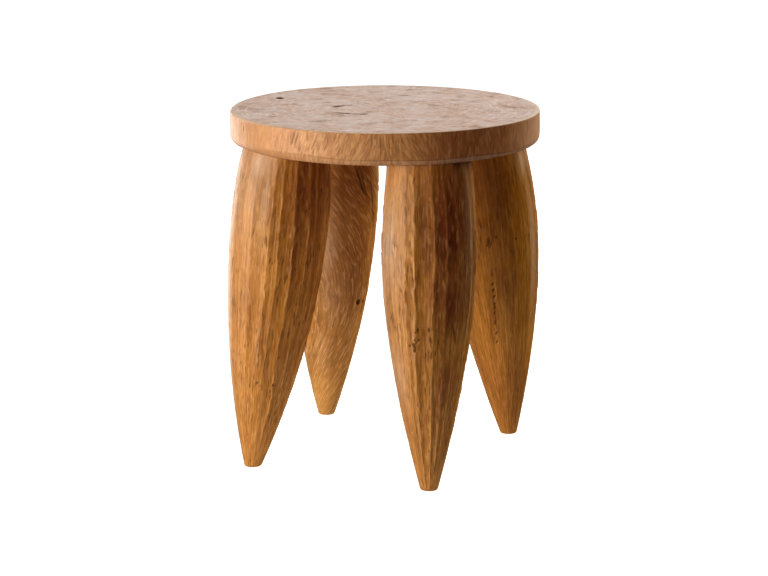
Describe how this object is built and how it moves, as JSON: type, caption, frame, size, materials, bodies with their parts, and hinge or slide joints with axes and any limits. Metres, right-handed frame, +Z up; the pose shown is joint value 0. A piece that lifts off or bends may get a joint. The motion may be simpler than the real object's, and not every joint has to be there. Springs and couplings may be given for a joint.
{
  "type": "round wooden stool",
  "caption": "Low round stool of solid wood: a thick disc seat on splayed, hand-hewn legs that swell below the seat and taper to small flat feet.",
  "frame": {"origin": "on the floor, under the centre of the seat", "axes": "+Z up; the front legs stand towards -Y and the right legs towards +X, so +X and +Y each run between two legs"},
  "size_m": [0.396, 0.396, 0.455],
  "materials": {
    "seat_wood": "hand-tooled light brown hardwood, oiled, paler end grain on top",
    "leg_wood": "long adze flutes in warm brown hardwood, oiled to a soft sheen",
    "wedge_wood": "split dark hardwood, unfinished"
  },
  "bodies": {
    "root": {"seat": "seat_wood", "leg_front_right": "leg_wood", "leg_back_right": "leg_wood", "leg_back_left": "leg_wood", "leg_front_left": "leg_wood", "fox_wedge_front_right": "wedge_wood", "fox_wedge_back_right": "wedge_wood", "fox_wedge_back_left": "wedge_wood", "fox_wedge_front_left": "wedge_wood"}
  },
  "joints": []
}
